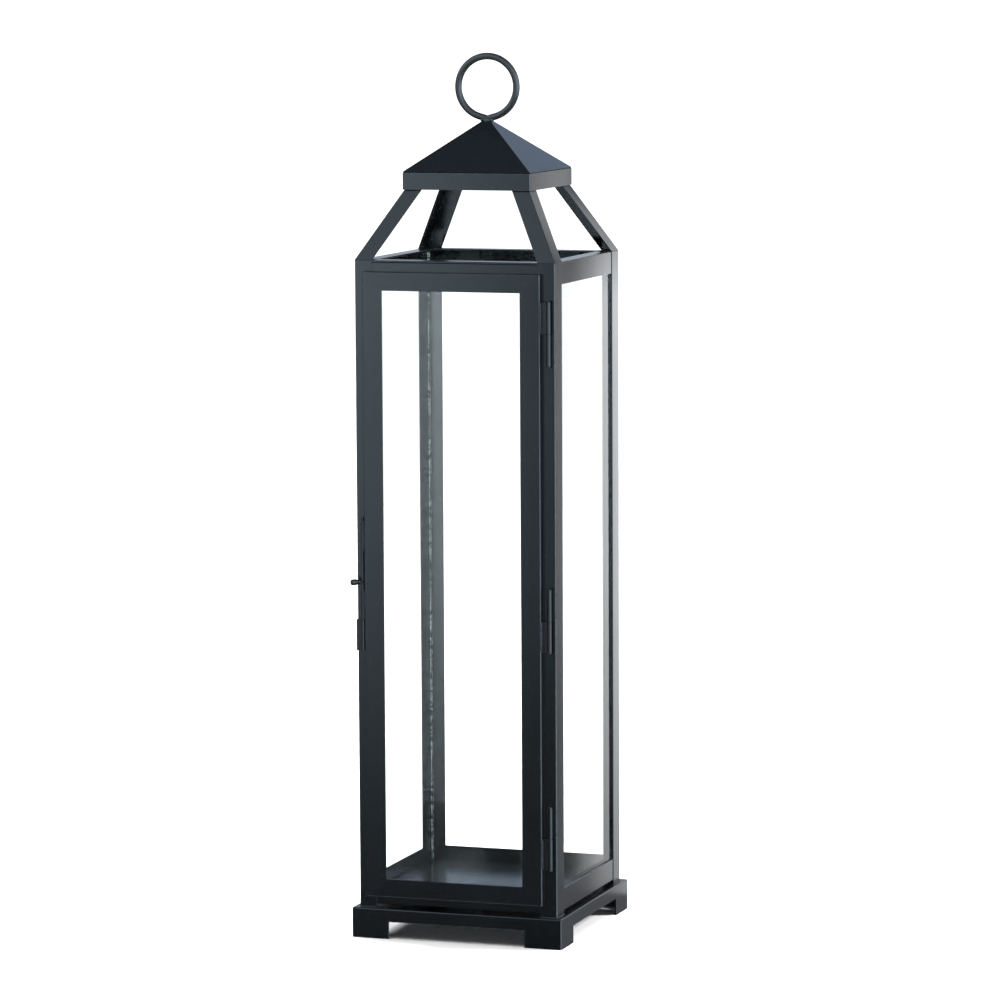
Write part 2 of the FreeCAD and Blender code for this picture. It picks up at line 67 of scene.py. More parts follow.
class Nodes:
    """A node tree, with short calls for the nodes that the materials and the world share."""

    def __init__(self, tree):
        self.tree = tree
        tree.nodes.clear()

    def node(self, kind, **settings):
        item = self.tree.nodes.new(kind)
        for key, value in settings.items():
            setattr(item, key, value)
        return item

    def link(self, source, target):
        self.tree.links.new(source, target)

    def feed(self, socket, value):
        """Set a socket to a number or colour, or link an output to it."""
        if isinstance(value, bpy.types.NodeSocket):
            self.link(value, socket)
        else:
            socket.default_value = value

    def ramp(self, source, low, high, start=0.0, end=1.0):
        """Remap a value from start..end to low..high, clamped."""
        item = self.node("ShaderNodeMapRange")
        self.feed(item.inputs["Value"], source)
        item.inputs["From Min"].default_value = start
        item.inputs["From Max"].default_value = end
        item.inputs["To Min"].default_value = low
        item.inputs["To Max"].default_value = high
        return item.outputs["Result"]

    def mix(self, factor, first, second):
        item = self.node("ShaderNodeMix", data_type="RGBA")
        self.feed(item.inputs["Factor"], factor)
        self.feed(item.inputs["A"], first)
        self.feed(item.inputs["B"], second)
        return item.outputs["Result"]

    def math(self, operation, first, second=0.0):
        item = self.node("ShaderNodeMath", operation=operation)
        self.feed(item.inputs[0], first)
        self.feed(item.inputs[1], second)
        return item.outputs["Value"]

    def graded(self, source, span, stops):
        """Blend the colours that stops place along span."""
        item = self.node("ShaderNodeValToRGB")
        elements = item.color_ramp.elements
        while len(elements) < len(stops):
            elements.new(0.5)
        for element, (place, colour) in zip(elements, stops):
            element.position = (place - span[0]) / (span[1] - span[0])
            element.color = (*colour, 1)
        self.link(self.ramp(source, 0, 1, *span), item.inputs["Fac"])
        return item.outputs["Color"]

    def blend(self, share, first, second):
        """Mix two shaders."""
        item = self.node("ShaderNodeMixShader")
        self.link(share, item.inputs["Fac"])
        self.link(first, item.inputs[1])
        self.link(second, item.inputs[2])
        return item.outputs["Shader"]


class Shader(Nodes):
    """A new material's node tree; its textures follow the object's own coordinates."""

    def __init__(self, name):
        self.material = bpy.data.materials.new(name)
        self.material.use_nodes = True
        super().__init__(self.material.node_tree)
        self.output = self.node("ShaderNodeOutputMaterial")
        self.place = self.node("ShaderNodeTexCoord").outputs["Object"]

    def noise(self, scale, detail=3.0, roughness=0.5, stretch=(1, 1, 1)):
        mapping = self.node("ShaderNodeMapping")
        mapping.inputs["Scale"].default_value = stretch
        self.link(self.place, mapping.inputs["Vector"])
        texture = self.node("ShaderNodeTexNoise")
        texture.inputs["Scale"].default_value = scale
        texture.inputs["Detail"].default_value = detail
        texture.inputs["Roughness"].default_value = roughness
        self.link(mapping.outputs["Vector"], texture.inputs["Vector"])
        return texture.outputs["Fac"]

    def bump(self, height, distance, under=None):
        item = self.node("ShaderNodeBump")
        item.inputs["Distance"].default_value = distance
        self.link(height, item.inputs["Height"])
        if under is not None:
            self.link(under, item.inputs["Normal"])
        return item.outputs["Normal"]

    def principled(self, colour, rough, normal, mirror_tint=(1, 1, 1, 1)):
        shader = self.node("ShaderNodeBsdfPrincipled")
        self.link(colour, shader.inputs["Base Color"])
        self.link(rough, shader.inputs["Roughness"])
        self.link(normal, shader.inputs["Normal"])
        shader.inputs["Specular Tint"].default_value = mirror_tint
        return shader.outputs["BSDF"]

    def surface(self, shader):
        """Show a shader on the material, and give the material back."""
        self.link(shader, self.output.inputs["Surface"])
        return self.material


def grey(stops):
    """Stops whose colours are given as one brightness each."""
    return [(place, (value, value, value)) for place, value in stops]


def coated_steel(name, tint, gloss=0.23, worn=0.5, peel=1.0, scuffed=0.0, shine=1.0):
    """Satin powder coat on sheet steel: fine orange peel, cloudy gloss, dust specks, rubbed edges."""
    s = Shader(name)
    cloud = s.noise(9.0, detail=4.0)
    streak = s.noise(14.0, stretch=(1, 1, 0.12))
    pits = s.noise(2600.0, detail=1.0)
    speck = s.noise(420.0, detail=1.0)
    dark = tuple(0.75 * part for part in tint) + (1,)
    light = tuple(1.3 * part for part in tint) + (1,)
    body = s.mix(s.ramp(cloud, 0, 1, 0.3, 0.7), dark, light)
    dusty = s.mix(s.ramp(speck, 0, 0.35, 0.72, 0.8), body, (0.03, 0.031, 0.031, 1))
    wear = s.node("ShaderNodeAttribute", attribute_name="wear").outputs["Fac"]
    rubbed = s.math("MULTIPLY", wear, s.ramp(s.noise(160.0, detail=4.0), 0, worn, 0.45, 0.75))
    colour = s.mix(rubbed, dusty, (0.03, 0.034, 0.038, 1))
    rough = s.math("ADD", s.ramp(cloud, gloss - 0.04, gloss + 0.04, 0.3, 0.7), s.ramp(streak, -0.03, 0.03))
    rough = s.math("ADD", rough, s.ramp(pits, -0.02, 0.02))
    rough = s.math("SUBTRACT", rough, s.math("MULTIPLY", rubbed, 0.08))
    normal = s.bump(s.noise(22.0, detail=2.0), 0.00010 * peel)
    normal = s.bump(s.noise(900.0, detail=2.0), 0.000012 * peel, under=normal)
    normal = s.bump(pits, 0.000004 * peel, under=normal)
    if scuffed:
        scratch = s.noise(55.0, detail=5.0, roughness=0.7, stretch=(0.25, 2.5, 1))
        rough = s.math("ADD", rough, s.ramp(scratch, 0, scuffed, 0.5, 0.62))
    return s.surface(s.principled(colour, rough, normal, (0.82 * shine, 0.93 * shine, shine, 1)))


def clear_glass(name, tint):
    """Thin pane: mirrors by Fresnel and lets everything else straight through, faintly tinted and smeared."""
    s = Shader(name)
    smear = s.noise(11.0, stretch=(1, 1, 0.35))
    dust = s.noise(700.0, detail=1.0)
    mirror = s.node("ShaderNodeBsdfGlossy")
    s.link(s.ramp(smear, 0.0, 0.04, 0.45, 0.8), mirror.inputs["Roughness"])
    s.link(s.bump(s.noise(6.0, detail=1.0), 0.00008), mirror.inputs["Normal"])
    through = s.node("ShaderNodeBsdfTransparent")
    faint = tuple(0.99 * part for part in tint[:3]) + (1,)
    s.link(s.mix(s.ramp(smear, 0, 0.5, 0.5, 0.9), tint, faint), through.inputs["Color"])
    backfacing = s.node("ShaderNodeNewGeometry").outputs["Backfacing"]
    fresnel = s.node("ShaderNodeFresnel")
    s.link(s.ramp(backfacing, PANE_IOR, 1 / PANE_IOR), fresnel.inputs["IOR"])
    share = s.math("ADD", fresnel.outputs["Fac"], s.ramp(dust, 0, 0.02, 0.68, 0.8))
    return s.surface(s.blend(share, through.outputs["BSDF"], mirror.outputs["BSDF"]))


def cut_glass_edge(name, cover, dark, light, painted_glow):
    """Rough-cut edge of float glass, partly see-through; it emits its own colour as a painted glow in place
    of the light the pane pipes to it.
    """
    s = Shader(name)
    chips = s.noise(480.0, detail=2.0, roughness=0.6)
    colour = s.mix(s.ramp(chips, 0, 1, 0.44, 0.58), dark, light)
    solid = s.principled(colour, s.ramp(chips, 0.12, 0.4, 0.3, 0.7), s.bump(chips, 0.0003))
    # Painted glow: the edge emits its own colour at the strength given, standing in for light piped through
    # the pane.
    s.link(colour, solid.node.inputs["Emission Color"])
    solid.node.inputs["Emission Strength"].default_value = painted_glow
    through = s.node("ShaderNodeBsdfTransparent")
    through.inputs["Color"].default_value = (0.86, 0.95, 0.92, 1)
    share = s.ramp(chips, 0.7 * cover, cover, 0.35, 0.6)
    return s.surface(s.blend(share, through.outputs["BSDF"], solid))


BLACK = coated_steel("powder_coat", (0.0018, 0.0025, 0.0033))
FLOOR_COAT = coated_steel("floor_coat", (0.0060, 0.0072, 0.0082), gloss=0.19, peel=0.05, scuffed=0.05)
HARDWARE = coated_steel("hardware_coat", (0.0030, 0.0038, 0.0048), gloss=0.3, worn=0.9, peel=1.2, shine=0.85)
WIRE = coated_steel("ring_coat", (0.0110, 0.0132, 0.0142), gloss=0.36, worn=0.5, peel=1.0)
WELD = coated_steel("weld_coat", (0.0034, 0.0046, 0.0058), gloss=0.25, worn=0.6, peel=3.0)
GLASS = clear_glass("pane", (0.988, 0.997, 0.994, 1))
# The cut edge carries a painted glow of strength 0.32; the arris has none.
GLASS_EDGE = cut_glass_edge("pane_edge_painted_glow", 1.0, (0.08, 0.12, 0.13, 1), (0.9, 1.0, 1.0, 1), 0.32)
GLASS_ARRIS = cut_glass_edge("pane_arris", 0.25, (0.03, 0.06, 0.06, 1), (0.3, 0.45, 0.43, 1), 0.0)
SLOT_COAT = {"coated_steel": BLACK, "hinge_hardware": HARDWARE, "ring_wire": WIRE}


# ---------------------------------------------------------------- mesh helpers

def placed(name, data):
    """A new object in the scene, made from a mesh, light or camera."""
    item = bpy.data.objects.new(name, data)
    bpy.context.scene.collection.objects.link(item)
    return item


def piece(name, mesh, node, materials, replace=True):
    """Put a mesh in the scene as a piece that rides with a CAD node's body, with the materials it is given.
    """
    item = placed(name, mesh)
    for material in materials:
        mesh.materials.append(material)
    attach(item, NODE_BODY[node])
    if replace:
        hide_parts(node)
    return item


def to_mesh(shape, name, smooth=True):
    for face in shape.faces:
        face.smooth = smooth
    mesh = bpy.data.meshes.new(name)
    shape.to_mesh(mesh)
    shape.free()
    return mesh


def solid_of(node):
    """The CAD node's shape as a bmesh with its flat faces whole again."""
    shape = bmesh.new()
    shape.from_mesh(frame["nodes"][node].data)
    bmesh.ops.remove_doubles(shape, verts=shape.verts, dist=1e-6)
    bmesh.ops.dissolve_limit(shape, angle_limit=math.radians(0.5), verts=shape.verts, edges=shape.edges)
    return shape


def soften(shape, fine, bold=0.0, is_bold=None):
    """Round the creases of a bmesh, the bold ones more, and mark what is rounded as wear."""
    worn = shape.faces.layers.int.new("worn")

    def creases():
        shape.normal_update()
        folds = [edge for edge in shape.edges if len(edge.link_faces) == 2]
        return [edge for edge in folds if edge.calc_face_angle(0) > CREASE]

    if is_bold:
        chosen = [edge for edge in creases() if is_bold(edge)]
        if chosen:
            made = bmesh.ops.bevel(shape, geom=chosen, offset=bold, segments=4, profile=0.5,
                                   affect="EDGES", clamp_overlap=True)
            for face in made["faces"]:
                face[worn] = 1
    made = bmesh.ops.bevel(shape, geom=creases(), offset=fine, segments=2, profile=0.5,
                           affect="EDGES", clamp_overlap=True)
    for face in made["faces"]:
        face[worn] = 1
    layer = shape.loops.layers.color.new("wear")
    for face in shape.faces:
        shade = float(face[worn])
        for loop in face.loops:
            loop[layer] = (shade, shade, shade, 1)


def direction(edge):
    first, second = edge.verts
    return (second.co - first.co).normalized()


def middle_of(edge):
    first, second = edge.verts
    return (first.co + second.co) / 2


def weighted(item):
    """Keep flat faces flat between rounded edges."""
    item.modifiers.new("normals", "WEIGHTED_NORMAL").weight = 80
    return item


def cut_seam(shape, level, front, depth, half_width=0.45 * MM):
    """V-shaped seam along a front face, cut at three levels and drawn in at the middle one."""
    on_line = 0.01 * MM
    for height in (level - half_width, level, level + half_width):
        geometry = shape.verts[:] + shape.edges[:] + shape.faces[:]
        bmesh.ops.bisect_plane(shape, geom=geometry, plane_co=(0, 0, height), plane_no=(0, 0, 1))
    for vertex in shape.verts:
        if abs(vertex.co.z - level) < on_line and abs(vertex.co.y - front) < on_line:
            vertex.co.y += depth


def softened_node(node, fine, bold=0.0, is_bold=None, material=None, seam=False):
    """A CAD node's stand-in with rounded creases; seam adds the line under its top edge."""
    shape = solid_of(node)
    soften(shape, fine, bold, is_bold)
    if seam:
        low, high = box_of(node)
        cut_seam(shape, high.z - 1.9 * MM, low.y, 0.75 * MM)
    material = material or SLOT_COAT[NODE_SLOT[node]]
    return weighted(piece(node + "_skin", to_mesh(shape, node + "_skin"), node, [material]))


def rough(point, size, seed=0.0):
    """Smooth random offset between about -1 and 1, the same on every run."""
    return noise.noise(Vector(point) / size + Vector((seed, 2.3 * seed, 0.7 * seed)))


def sweep(shape, path, radii, sides=12, closed=False, squash=1.0, up=None):
    """Tube along path, with a radius at each point; squash flattens it along up."""
    count = len(path)
    rings = []
    for i, point in enumerate(path):
        before = path[(i - 1) % count] if closed or i else point
        after = path[(i + 1) % count] if closed or i < count - 1 else point
        way = (after - before).normalized()
        axis = up or (Vector((0, 0, 1)) if abs(way.z) < 0.9 else Vector((1, 0, 0)))
        side = way.cross(axis).normalized()
        lift = side.cross(way).normalized() * squash
        ring = []
        for k in range(sides):
            turn = 2 * math.pi * k / sides
            ring.append(shape.verts.new(point + radii[i] * (math.cos(turn) * side + math.sin(turn) * lift)))
        rings.append(ring)
    for i in range(count if closed else count - 1):
        near, far = rings[i], rings[(i + 1) % count]
        for k in range(sides):
            shape.faces.new((near[k], near[(k + 1) % sides], far[(k + 1) % sides], far[k]))
    if not closed:
        shape.faces.new(list(reversed(rings[0])))
        shape.faces.new(rings[-1])
    bmesh.ops.recalc_face_normals(shape, faces=shape.faces)


def weld(name, node, start, end, radius, lumps=0.25, squash=1.0, seed=0.0):
    """A short bead along a seam, its width wandering the way hand-laid weld does."""
    start, end = Vector(start), Vector(end)
    length = (end - start).length
    steps = max(6, int(length / (0.45 * radius)))
    path, radii = [], []
    for i in range(steps + 1):
        share = i / steps
        point = start.lerp(end, share)
        ripple = 0.12 * math.sin(share * length / radius * 2.6 + seed)
        taper = min(1.0, 5 * share + 0.35, 5 * (1 - share) + 0.35)
        radii.append(radius * taper * (1 + ripple + lumps * rough(point, 4 * radius, seed)))
        wander = Vector([rough(point, 6 * radius, seed + k + 3) for k in range(3)])
        path.append(point + 0.15 * radius * wander)
    shape = bmesh.new()
    sweep(shape, path, radii, squash=squash)
    return piece(name, to_mesh(shape, name), node, [WELD], replace=False)


def nugget(name, node, centre, size, bumps=0.18, seed=0.0):
    """A lump of weld metal: a ball stretched to size and roughened."""
    shape = bmesh.new()
    bmesh.ops.create_icosphere(shape, subdivisions=4, radius=1.0)
    for vertex in shape.verts:
        swell = 1 + bumps * rough(vertex.co, 0.7, seed) + 0.4 * bumps * rough(vertex.co, 0.25, seed)
        vertex.co = Vector(centre[i] + vertex.co[i] * size[i] * swell for i in range(3))
    return piece(name, to_mesh(shape, name), node, [WELD], replace=False)


# ---------------------------------------------------------------- steel

def make_posts():
    """Posts, bent angle with a rounded heel; roof struts; and the dressed weld where they meet."""
    sunk = 0.05 * MM    # how far a bead's line lies inside the face
    for corner, (x_sign, y_sign) in CORNERS.items():
        post = "post_" + corner
        low, high = box_of(post)
        heel = Vector((max(low.x, high.x, key=abs), max(low.y, high.y, key=abs), 0))

        def at_heel(edge):
            return abs(direction(edge).z) > 0.9 and (middle_of(edge).xy - heel.xy).length < 2 * NEAR

        softened_node(post, 0.22 * MM, 1.0 * MM, at_heel)
        softened_node("roof_strut_" + corner, 0.22 * MM)
        joint = high.z
        leg_x, leg_y = high.x - low.x, high.y - low.y
        face_x, face_y = heel.x - sunk * x_sign, heel.y - sunk * y_sign
        weld("joint_weld_face_" + corner, post, (heel.x - 0.6 * MM * x_sign, face_y, joint),
             (heel.x - x_sign * leg_x, face_y, joint), 0.32 * MM, seed=1.7 * x_sign + y_sign)
        weld("joint_weld_side_" + corner, post, (face_x, heel.y - 0.6 * MM * y_sign, joint),
             (face_x, heel.y - y_sign * leg_y, joint), 0.32 * MM, seed=0.9 * x_sign - y_sign)


def make_rails():
    """Rails: angle with its bend rounded more than its cut edges."""
    for node in sorted(frame["nodes"]):
        if not node.endswith("_rail"):
            continue
        low, high = box_of(node)
        is_top = "_top_" in node
        x_wide = high.x - low.x > high.y - low.y
        axis = 1 if x_wide else 0
        outer = max(low[axis], high[axis], key=abs)
        level = high.z if is_top else low.z

        def at_bend(edge):
            middle = middle_of(edge)
            return abs(middle[axis] - outer) < NEAR and abs(middle.z - level) < NEAR

        softened_node(node, 0.2 * MM, 0.85 * MM, at_bend, seam=node == "front_top_rail")


def make_cap():
    """Folded band and roof with soft corners, and the struts' weld beads under the band."""
    low, high = box_of("cap_band")
    half = high.x

    def outer_corner(edge):
        way, middle = direction(edge), middle_of(edge)
        upright = abs(way.z) > 0.9 and abs(abs(middle.x) - half) < NEAR and abs(abs(middle.y) - half) < NEAR
        outside = max(abs(middle.x), abs(middle.y)) > half - NEAR
        rim = abs(way.z) < 0.1 and outside and middle.z > high.z - NEAR
        return upright or rim

    softened_node("cap_band", 0.3 * MM, 1.15 * MM, outer_corner)
    eaves = box_of("cap_roof")[0].z
    inside_of_roof = eaves + 17 * MM    # the hips on the sheet's inner side have their middles lower

    def hip_or_eave(edge):
        way, middle = direction(edge), middle_of(edge)
        on_diagonal = abs(abs(middle.x) - abs(middle.y)) < 2 * NEAR
        outside = abs(max(abs(middle.x), abs(middle.y)) - half) < NEAR
        hip = on_diagonal and abs(way.z) > 0.2 and middle.z > inside_of_roof
        eave = abs(way.z) < 0.1 and abs(middle.z - eaves) < NEAR and outside
        return hip or eave

    softened_node("cap_roof", 0.25 * MM, 0.7 * MM, hip_or_eave)
    head = half - 1.3 * MM
    face_leg, side_leg = 12 * MM, 14.4 * MM
    for corner, (x_sign, y_sign) in CORNERS.items():
        node = "roof_strut_" + corner
        start = (x_sign * head, y_sign * head, low.z)
        weld("band_weld_face_" + corner, node, start, (x_sign * (head - face_leg), y_sign * head, low.z),
             0.75 * MM, squash=0.7, seed=x_sign + 2 * y_sign)
        weld("band_weld_side_" + corner, node, start, (x_sign * head, y_sign * (head - side_leg), low.z),
             0.75 * MM, squash=0.7, seed=3 * x_sign - y_sign)


def make_ring():
    """Ring of bent wire, its ends drawn to a shallow V and held in a nugget of weld on the roof's tip."""
    low, high = box_of("hanging_ring")
    wire = (high.y - low.y) / 2
    centre_z = high.z - (high.x - low.x) / 2
    middle = (high.x - low.x) / 2 - wire
    gap = math.radians(16)
    path = []
    steps = 150
    for i in range(steps + 1):
        turn = -math.pi / 2 + gap + (2 * math.pi - 2 * gap) * i / steps
        path.append(Vector((middle * math.cos(turn), 0, centre_z + middle * math.sin(turn))))
    tip = Vector((0, 0, centre_z - middle / math.cos(gap)))
    last, first = path[-1], path[0]
    path += [last.lerp(tip, 0.33), last.lerp(tip, 0.66), tip, tip.lerp(first, 0.33), tip.lerp(first, 0.66)]
    radii = [wire * (1 - 0.012 - 0.012 * rough(point, 9 * MM, 4.0)) for point in path]
    shape = bmesh.new()
    sweep(shape, path, radii, sides=28, closed=True, up=Vector((0, 1, 0)))
    piece("hanging_ring_wire", to_mesh(shape, "hanging_ring_wire"), "hanging_ring", [WIRE])
    apex = tip.z - 0.4 * wire
    nugget("ring_weld", "cap_roof", (0, 0, apex), (4.5 * MM, 3.6 * MM, 2.3 * MM), seed=5.0)
    nugget("ring_weld_left", "cap_roof", (-3.2 * MM, -1.0 * MM, apex + 0.3 * MM),
           (1.9 * MM, 1.7 * MM, 1.5 * MM), seed=8.0)
    nugget("ring_weld_right", "cap_roof", (3.0 * MM, -0.7 * MM, apex + 0.4 * MM),
           (1.8 * MM, 1.8 * MM, 1.4 * MM), seed=9.0)


def make_base():
    """Plinth with its rolled folds, floor pan, and the beads that hold the posts down."""
    softened_node("base_plinth", 0.25 * MM)
    softened_node("floor_pan", 0.3 * MM, material=FLOOR_COAT)
    deck = box_of("base_plinth")[1].z
    for corner, (x_sign, y_sign) in CORNERS.items():
        node = "post_" + corner
        low, high = box_of(node)
        x_out, y_out = max(low.x, high.x, key=abs), max(low.y, high.y, key=abs)
        weld("foot_weld_face_" + corner, node, (x_out, y_out, deck),
             (x_out - x_sign * (high.x - low.x), y_out, deck), 0.55 * MM, seed=x_sign + y_sign)
        weld("foot_weld_side_" + corner, node, (x_out, y_out, deck),
             (x_out, y_out - y_sign * (high.y - low.y), deck), 0.55 * MM, seed=x_sign - y_sign)


def make_door_frame():
    """Door bars: the fold round the outside is rounded, the mitres stay as fine dressed seams."""
    left, right = box_of("door_stile_left")[0], box_of("door_stile_right")[1]
    centre = (left + right) / 2
    for node in ("door_stile_left", "door_stile_right", "door_rail_bottom", "door_rail_top"):
        low, high = box_of(node)
        front = low.y
        upright = high.z - low.z > high.x - low.x
        axis = 0 if upright else 2
        outer = max(low[axis], high[axis], key=lambda value: abs(value - centre[axis]))

        def at_fold(edge):
            middle = middle_of(edge)
            return abs(middle.y - front) < NEAR and abs(middle[axis] - outer) < NEAR

        softened_node(node, 0.12 * MM, 0.8 * MM, at_fold)


# ---------------------------------------------------------------- hardware

def make_hardware():
    """Hinges, latch and clips, with tack welds where the leaves are fixed."""
    strap_end = box_of("latch_keeper")[0].x
    within_strap = box_of("post_front_left")[0].y - 0.7 * MM    # a plane between the strap's two faces

    def strap_corner(edge):
        middle = middle_of(edge)
        on_end = middle.x < strap_end + 2 * NEAR
        return abs(direction(edge).z) > 0.9 and on_end and middle.y < within_strap

    softened_node("latch_keeper", 0.15 * MM, 0.75 * MM, strap_corner)
    for node in sorted(frame["nodes"]):
        if "clips" in node or node in ("latch_guide_lower", "latch_guide_upper", "latch_bolt"):
            softened_node(node, 0.12 * MM)
        elif node.endswith("_leaf"):
            softened_node(node, 0.14 * MM)
    for level in ("top", "middle", "bottom"):
        make_hinge_details(level)
    make_knob()
    make_latch_details()


def lathe(shape, profile, centre, axis, sides=28):
    """Turn a profile of (radius, distance along axis) pairs round axis."""
    axis = axis.normalized()
    side = axis.orthogonal().normalized()
    other = axis.cross(side)
    rings = []
    for radius, reach in profile:
        ring = []
        for k in range(sides):
            turn = 2 * math.pi * k / sides
            ring.append(shape.verts.new(centre + axis * reach
                                        + radius * (math.cos(turn) * side + math.sin(turn) * other)))
        rings.append(ring)
    for near, far in zip(rings, rings[1:]):
        for k in range(sides):
            shape.faces.new((near[k], near[(k + 1) % sides], far[(k + 1) % sides], far[k]))
    shape.faces.new(list(reversed(rings[0])))
    shape.faces.new(rings[-1])
    bmesh.ops.recalc_face_normals(shape, faces=shape.faces)


def make_hinge_details(level):
    """Pin with peened heads, and the tacks that fix both leaves."""
    pin = f"hinge_{level}_pin"
    low, high = box_of(pin)
    axis = Vector(((low.x + high.x) / 2, (low.y + high.y) / 2, 0))
    head = (high.x - low.x) / 2
    shank = 0.85 * MM
    cap = 0.8 * MM
    gap = 0.02 * MM
    profile = [(0.35 * head, low.z), (0.8 * head, low.z + 0.12 * MM), (head, low.z + 0.4 * MM),
               (0.97 * head, low.z + cap), (shank, low.z + cap + gap),
               (shank, high.z - cap - gap), (0.97 * head, high.z - cap),
               (head, high.z - 0.4 * MM), (0.8 * head, high.z - 0.12 * MM), (0.35 * head, high.z)]
    shape = bmesh.new()
    lathe(shape, profile, axis, Vector((0, 0, 1)))
    mesh = to_mesh(shape, pin + "_turned")
    weighted(piece(pin + "_turned", mesh, pin, [HARDWARE]))
    leaf = f"hinge_{level}_door_leaf"
    low, high = box_of(leaf)
    weld(f"{leaf}_tack_front", leaf, (low.x + 0.2 * MM, low.y + 0.1 * MM, low.z + 0.8 * MM),
         (low.x + 0.2 * MM, low.y + 0.1 * MM, high.z - 0.8 * MM), 0.55 * MM, lumps=0.5, seed=high.z * 90)
    leaf = f"hinge_{level}_frame_leaf"
    low, high = box_of(leaf)
    for share in (0.15, 0.85):
        place = low.z + share * (high.z - low.z)
        nugget(f"{leaf}_tack_{int(100 * share)}", leaf, (high.x - 0.2 * MM, high.y - 0.35 * MM, place),
               (0.7 * MM, 0.45 * MM, 1.6 * MM), bumps=0.35, seed=place * 70)


def make_knob():
    """Turned knob with a rounded nose and a neck, and the weld that holds its handle to the bolt."""
    low, high = box_of("latch_knob")
    centre = (low + high) / 2
    handle_side, handle_front = 3.1, 2.8
    way = Vector((-handle_side, -handle_front, 0)).normalized()
    radius = (high.z - low.z) / 2
    length = (high.x - low.x + 2 * radius * way.y) / abs(way.x)
    base = centre - way * (length / 2)
    shares = [(0.55, -0.46), (0.62, -0.4), (0.64, -0.2), (0.72, -0.02), (0.86, 0.05), (0.94, 0.16),
              (0.98, 0.3), (0.98, 0.74), (0.92, 0.88), (0.74, 0.96), (0.3, 0.995)]
    profile = [(across * radius, reach * length) for across, reach in shares]
    shape = bmesh.new()
    lathe(shape, profile, base, way)
    piece("latch_knob_turned", to_mesh(shape, "latch_knob_turned"), "latch_knob", [HARDWARE])
    nugget("latch_handle_weld", "latch_bolt", base - way * (0.6 * length), (1.7 * MM, 1.5 * MM, 1.05 * MM),
           bumps=0.12, seed=3.0)


def make_latch_details():
    """Tacks on the guides' plates and on the keeper's strap."""
    for node in ("latch_guide_lower", "latch_guide_upper"):
        low, high = box_of(node)
        x, y = high.x - 0.45 * MM, low.y + 0.35 * MM
        weld(node + "_tack", node, (x, y, low.z + 0.8 * MM), (x, y, high.z - 0.8 * MM), 0.38 * MM,
             lumps=0.5, seed=low.z * 60)
    low, high = box_of("latch_keeper")
    for share in (0.2, 0.8):
        place = low.z + share * (high.z - low.z)
        nugget(f"latch_keeper_tack_{int(100 * share)}", "latch_keeper",
               (low.x + 0.55 * MM, high.y - 0.1 * MM, place), (0.4 * MM, 0.7 * MM, 1.5 * MM),
               bumps=0.35, seed=place * 50)


# ---------------------------------------------------------------- glass

def make_pane(node):
    """A pane with hand-cut edges: cut and arris wander a little along every side."""
    low, high = box_of(node)
    thin = min(range(3), key=lambda axis: high[axis] - low[axis])
    u_axis, v_axis = [axis for axis in range(3) if axis != thin]
    centre, thickness = (low + high) / 2, high[thin] - low[thin]
    half_u, half_v = (high[u_axis] - low[u_axis]) / 2, (high[v_axis] - low[v_axis]) / 2
    turns = ((-1, -1), (1, -1), (1, 1), (-1, 1))
    border = []
    step = 3.0 * MM
    for (u0, v0), (u1, v1) in zip(turns, turns[1:] + turns[:1]):
        length = 2 * (half_u if v0 == v1 else half_v)
        count = max(4, int(length / step))
        for i in range(count):
            share = i / count
            border.append((half_u * (u0 + (u1 - u0) * share), half_v * (v0 + (v1 - v0) * share)))

    def loop_at(depth, inset, wander, seed):
        """One loop of the edge: depth runs from -1 to 1 through the pane, inset and wander pull it in."""
        ring = []
        for u, v in border:
            near = 0.5 + 0.5 * rough((u, v, seed * MM), 14 * MM, seed)
            fine = 0.5 + 0.5 * rough((u, v, seed * MM), 3.5 * MM, seed + 5)
            pull = inset + wander * (0.65 * near + 0.35 * fine)
            point = centre.copy()
            point[u_axis] += max(-half_u + pull, min(half_u - pull, u))
            point[v_axis] += max(-half_v + pull, min(half_v - pull, v))
            point[thin] += depth * thickness / 2
            ring.append(shape.verts.new(point))
        return ring

    shape = bmesh.new()
    rings = [loop_at(-1, 0.12 * MM, 0.2 * MM, 1.0), loop_at(-0.6, 0.0, 0.14 * MM, 2.0),
             loop_at(-0.2, 0.0, 0.16 * MM, 3.0), loop_at(0.28, 0.0, 0.16 * MM, 4.0),
             loop_at(0.75, 0.0, 0.14 * MM, 5.0), loop_at(1, 0.12 * MM, 0.2 * MM, 6.0)]
    # The middle strip of the edge takes the cut-edge material with its painted glow; the other strips take
    # the arris.
    painted_glow_strip = 2
    shape.faces.new(list(reversed(rings[0])))
    shape.faces.new(rings[-1])
    count = len(border)
    for strip, (near, far) in enumerate(zip(rings, rings[1:])):
        for i in range(count):
            face = shape.faces.new((near[i], near[(i + 1) % count], far[(i + 1) % count], far[i]))
            face.material_index = 1 if strip == painted_glow_strip else 2
    bmesh.ops.recalc_face_normals(shape, faces=shape.faces)
    mesh = to_mesh(shape, node + "_pane", smooth=False)
    return piece(node + "_pane", mesh, node, [GLASS, GLASS_EDGE, GLASS_ARRIS])


make_posts()
make_rails()
make_cap()
make_ring()
make_base()
make_door_frame()
make_hardware()
for pane in PANES:
    make_pane(pane)


# ---------------------------------------------------------------- stage, light, camera

def make_floor():
    """Matt white floor, wide enough to run out of every view."""
    mesh = bpy.data.meshes.new("studio_floor")
    half = 6.0
    corners = [(-half, -half, 0), (half, -half, 0), (half, half, 0), (-half, half, 0)]
    mesh.from_pydata(corners, [], [(0, 1, 2, 3)])
    floor = placed("studio_floor", mesh)
    s = Shader("studio_floor")
    shader = s.node("ShaderNodeBsdfDiffuse")
    shader.inputs["Color"].default_value = (0.9, 0.9, 0.9, 1)
    mesh.materials.append(s.surface(shader.outputs["BSDF"]))
    floor.visible_glossy = False


